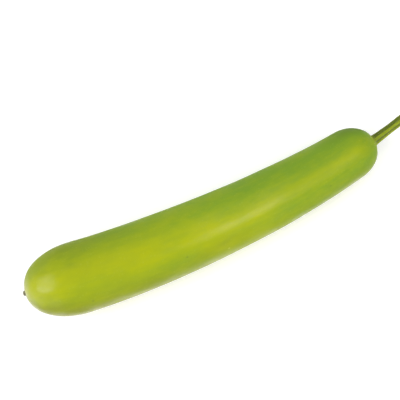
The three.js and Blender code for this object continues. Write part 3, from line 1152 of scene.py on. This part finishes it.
def finish_stem():
    """Fibrous bark, pale on the ribs and dark in the hollows, partly painted light and shade, with
    painted shade on one flank, and the paler flesh of the cut.
    """
    material, wire, shader = new_material("stem_bark")
    place = wire.attribute("stem_place", "Vector")
    from_foot = wire.attribute("from_foot")
    crest = wire.step(wire.attribute("crest"), *CREST_EDGES)
    colour = wire.mix(crest, STEM_GROOVE, STEM_CREST)
    # Painted shade on the flank turned away from the light
    shaded = wire.step(wire.attribute("shaded_side"), *STEM_SHADE)
    colour = wire.mix(shaded, colour, STEM_SHADED)
    fibres = wire.effect(FIBRES, Place=place, Width=0.35 * MM, Stretch=26.0)
    colour = wire.tint(colour, STEM_FIBRE, fibres, FIBRE_COVER)
    mottle = wire.effect(BLOTCHES, Place=place, Width=2.2 * MM, Stretch=3.0, Seed=5.0)
    colour = wire.tint(colour, STEM_GROOVE, mottle, STEM_MOTTLE_COVER)
    colour = wire.mix(wire.step(from_foot, *STEM_FOOT_TINT), colour, STEM_FOOT_LIME)
    colour = wire.mix(wire.step(from_foot, *STEM_DRYING), colour, CUT_TAN)

    speckle = wire.effect(BLOTCHES, Place=place, Width=0.5 * MM, Seed=9.0)
    face = wire.tint(CUT_FLESH, CUT_TAN, speckle, SPECKLE_COVER)
    face = wire.mix(wire.step(wire.attribute("bundle"), *BUNDLE_EDGES), face, BUNDLE_BROWN)
    colour = wire.mix(wire.attribute("on_face"), colour, face)
    dress(wire, shader, colour, wire.between(mottle, *STEM_ROUGHNESS), STEM_SHINE)
    bump(wire, shader, wire.maths("MULTIPLY_ADD", speckle, SPECKLE_HEIGHT, fibres), *STEM_BUMP)
    return material


PITH_CREAM = (0.52, 0.50, 0.27, 1)
PITH_TAN = (0.30, 0.24, 0.11, 1)
BROWNING_COVER = 0.7
CELL_COVER = 0.35
PITH_ROUGHNESS = (0.8, 0.9)
PITH_SHINE = 0.2
PITH_BUMP = (0.1 * MM, 0.9)


def finish_pith():
    """Dry, browning pith, full of tiny cells."""
    material, wire, shader = new_material("dried_pith")
    place = wire.attribute("pith_place", "Vector")
    cells = wire.effect(FLECKS, Place=place, Spacing=0.4 * MM, Fleck=0.5, Soft=0.25)
    browning = wire.effect(BLOTCHES, Place=place, Width=1.4 * MM, Seed=2.0)
    colour = wire.tint(PITH_CREAM, PITH_TAN, browning, BROWNING_COVER)
    colour = wire.tint(colour, PITH_TAN, cells, CELL_COVER)
    dress(wire, shader, colour, wire.between(cells, *PITH_ROUGHNESS), PITH_SHINE)
    bump(wire, shader, wire.maths("SUBTRACT", 1.0, cells), *PITH_BUMP)
    return material


SCAR_DARK = (0.125, 0.115, 0.07, 1)
SCAR_BROWN = (0.26, 0.24, 0.14, 1)
SCAR_ASH = (0.42, 0.41, 0.30, 1)
ASH_RISE = (0.25, 0.7)  # how far up the lobes ash begins and is full
ASH_COVER = 0.6
SCAR_ROUGHNESS = (0.9, 0.75)
SCAR_SHINE = 0.2
SCAR_GRAIN_SCALE = 3500.0
SCAR_BUMP = (0.1 * MM, 0.9)


def finish_scar():
    """Dead, crumpled brown, worn to ash on its lobes."""
    material, wire, shader = new_material("withered_flower")
    place = wire.attribute("scar_place", "Vector")
    patches = wire.effect(BLOTCHES, Place=place, Width=0.9 * MM, Seed=4.0)
    colour = wire.mix(patches, SCAR_DARK, SCAR_BROWN)
    worn = wire.effect(BLOTCHES, Place=place, Width=0.4 * MM, Seed=8.0, Low=0.5, High=0.75)
    worn = wire.maths("MULTIPLY", worn, wire.step(wire.attribute("rise"), *ASH_RISE))
    colour = wire.tint(colour, SCAR_ASH, worn, ASH_COVER)
    dress(wire, shader, colour, wire.between(patches, *SCAR_ROUGHNESS), SCAR_SHINE)
    bump(wire, shader, wire.noise(place, scale=SCAR_GRAIN_SCALE), *SCAR_BUMP)
    return material


HAIR_GREEN = (0.42, 0.47, 0.20, 1)
HAIR_PALE = (0.60, 0.62, 0.40, 1)
HAIR_ROUGHNESS = (0.5, 0.6)
HAIR_SHINE = 0.3


def finish_hairs():
    """Pale hairs, some greener than others."""
    material, wire, shader = new_material("pale_hairs")
    place = wire.node("ShaderNodeTexCoord").outputs["Object"]
    uneven = wire.effect(BLOTCHES, Place=place, Width=2 * MM, Seed=1.0)
    colour = wire.mix(uneven, HAIR_GREEN, HAIR_PALE)
    dress(wire, shader, colour, wire.between(uneven, *HAIR_ROUGHNESS), HAIR_SHINE)
    return material


# ------------------------ the pieces

fruit_skin = make_fruit_skin(finish_skin())
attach(fruit_skin, "root")
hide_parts("fruit")

stem_stalk = make_stem_stalk(finish_stem())
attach(stem_stalk, "root")
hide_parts("stem")

stem_pith = make_stem_pith(finish_pith())
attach(stem_pith, "root")

stem_hairs = make_stem_hairs(finish_hairs())
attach(stem_hairs, "root")

flower_scar = make_blossom_scar(finish_scar())
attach(flower_scar, "root")
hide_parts("blossom_scar")


# ------------------------ floor, light and camera

FLOOR_HALF = 8.0
FLOOR_BELOW = 0.2 * MM
FLOOR_WHITES = ((0.95, 0.95, 0.95, 1), (0.96, 0.96, 0.96, 1))
FLOOR_GLOW = (0.2, 0.62)  # the table is milky and lit from below, faintly here and more far away
FLOOR_GLOW_REACH = (1.2, 4.5)
FLOOR_ROUGHNESS = 0.8
FLOOR_SHINE = 0.1
WALL_RISE = (0.12, 0.5)  # sine of the elevation at which the walls begin to dim, and at which they end
WALL_LIGHT = 1.0
CEILING_LIGHT = 0.35
# Softboxes: name, azimuth and elevation in degrees, distance, width and height, power in watts, and shape
SOFTBOXES = (
    ("top_softbox", 10, 78, 2.6, 3.6, 3.6, 39.0, "RECTANGLE"),
    ("long_softbox", 36, 48.0, 2.4, 1.5, 1.15, 13.0, "RECTANGLE"),
    ("left_softbox", -97, 38.5, 2.2, 2.0, 1.75, 25.5, "ELLIPSE"),
)
CAMERA_AZIMUTH = -25.43  # degrees, as in direction()
CAMERA_ELEVATION = 70.0
CAMERA_FAR = 989.7 * MM
CAMERA_AIM = Vector((1.86, 32.27, 32.3)) * MM
CAMERA_LENS = 85.0  # millimetres, as is the sensor
CAMERA_SENSOR = 36.0


def finish_floor():
    """Plain pale floor, lit up softly from below."""
    material, wire, shader = new_material("pale_floor")
    place = wire.node("ShaderNodeTexCoord").outputs["Object"]
    mottle = wire.effect(BLOTCHES, Place=place, Width=0.3, Seed=5.0)
    dress(wire, shader, wire.mix(mottle, *FLOOR_WHITES), FLOOR_ROUGHNESS, FLOOR_SHINE)
    shader.inputs["Emission Strength"].default_value = 1.0
    glow = wire.step(wire.vector("LENGTH", place), *FLOOR_GLOW_REACH, *FLOOR_GLOW)
    wire.feed(shader.inputs["Emission Color"], glow)
    return material


def make_floor():
    """A wide floor, a little below the gourd."""
    corners = ((-1, -1), (1, -1), (1, 1), (-1, 1))
    points = [(x * FLOOR_HALF, y * FLOOR_HALF, -FLOOR_BELOW) for x, y in corners]
    floor = link_mesh("floor", points, [(0, 1, 2, 3)], finish_floor(), smooth_faces=False)


def direction(azimuth, elevation):
    """Unit vector towards that azimuth, from -Y towards +X, and elevation, in degrees."""
    turn, rise = math.radians(azimuth), math.radians(elevation)
    return Vector((math.sin(turn) * math.cos(rise), -math.cos(turn) * math.cos(rise), math.sin(rise)))


def make_softbox(name, azimuth, elevation, far, wide, high, power, shape):
    """A soft light that faces the origin."""
    light = bpy.data.lights.new(name, "AREA")
    light.shape = shape
    light.size, light.size_y = wide, high
    light.energy = power
    lamp = bpy.data.objects.new(name, light)
    way = direction(azimuth, elevation)
    lamp.location = way * far
    lamp.rotation_mode = "QUATERNION"
    lamp.rotation_quaternion = way.to_track_quat("Z", "Y")
    bpy.context.scene.collection.objects.link(lamp)


def make_sky():
    """A plain white studio, with brighter walls than ceiling."""
    world = bpy.data.worlds.new("studio")
    world.use_nodes = True
    wire = Wiring(world.node_tree)
    rise = wire.node("ShaderNodeSeparateXYZ")
    wire.feed(rise.inputs[0], wire.node("ShaderNodeTexCoord").outputs["Generated"])
    background = world.node_tree.nodes["Background"]
    background.inputs["Color"].default_value = (1, 1, 1, 1)
    strength = wire.step(rise.outputs[2], *WALL_RISE, WALL_LIGHT, CEILING_LIGHT)
    wire.feed(background.inputs["Strength"], strength)
    bpy.context.scene.world = world


def make_camera():
    """The camera, turned to the gourd."""
    camera = bpy.data.objects.new("camera", bpy.data.cameras.new("camera"))
    camera.data.lens = CAMERA_LENS
    camera.data.sensor_width = CAMERA_SENSOR
    back = direction(CAMERA_AZIMUTH, CAMERA_ELEVATION)
    camera.location = CAMERA_AIM + back * CAMERA_FAR
    camera.rotation_mode = "QUATERNION"
    camera.rotation_quaternion = (-back).to_track_quat("-Z", "Y")
    bpy.context.scene.collection.objects.link(camera)
    bpy.context.scene.camera = camera


make_floor()
make_sky()
for softbox in SOFTBOXES:
    make_softbox(*softbox)
make_camera()
bpy.context.scene.view_settings.view_transform = "Standard"
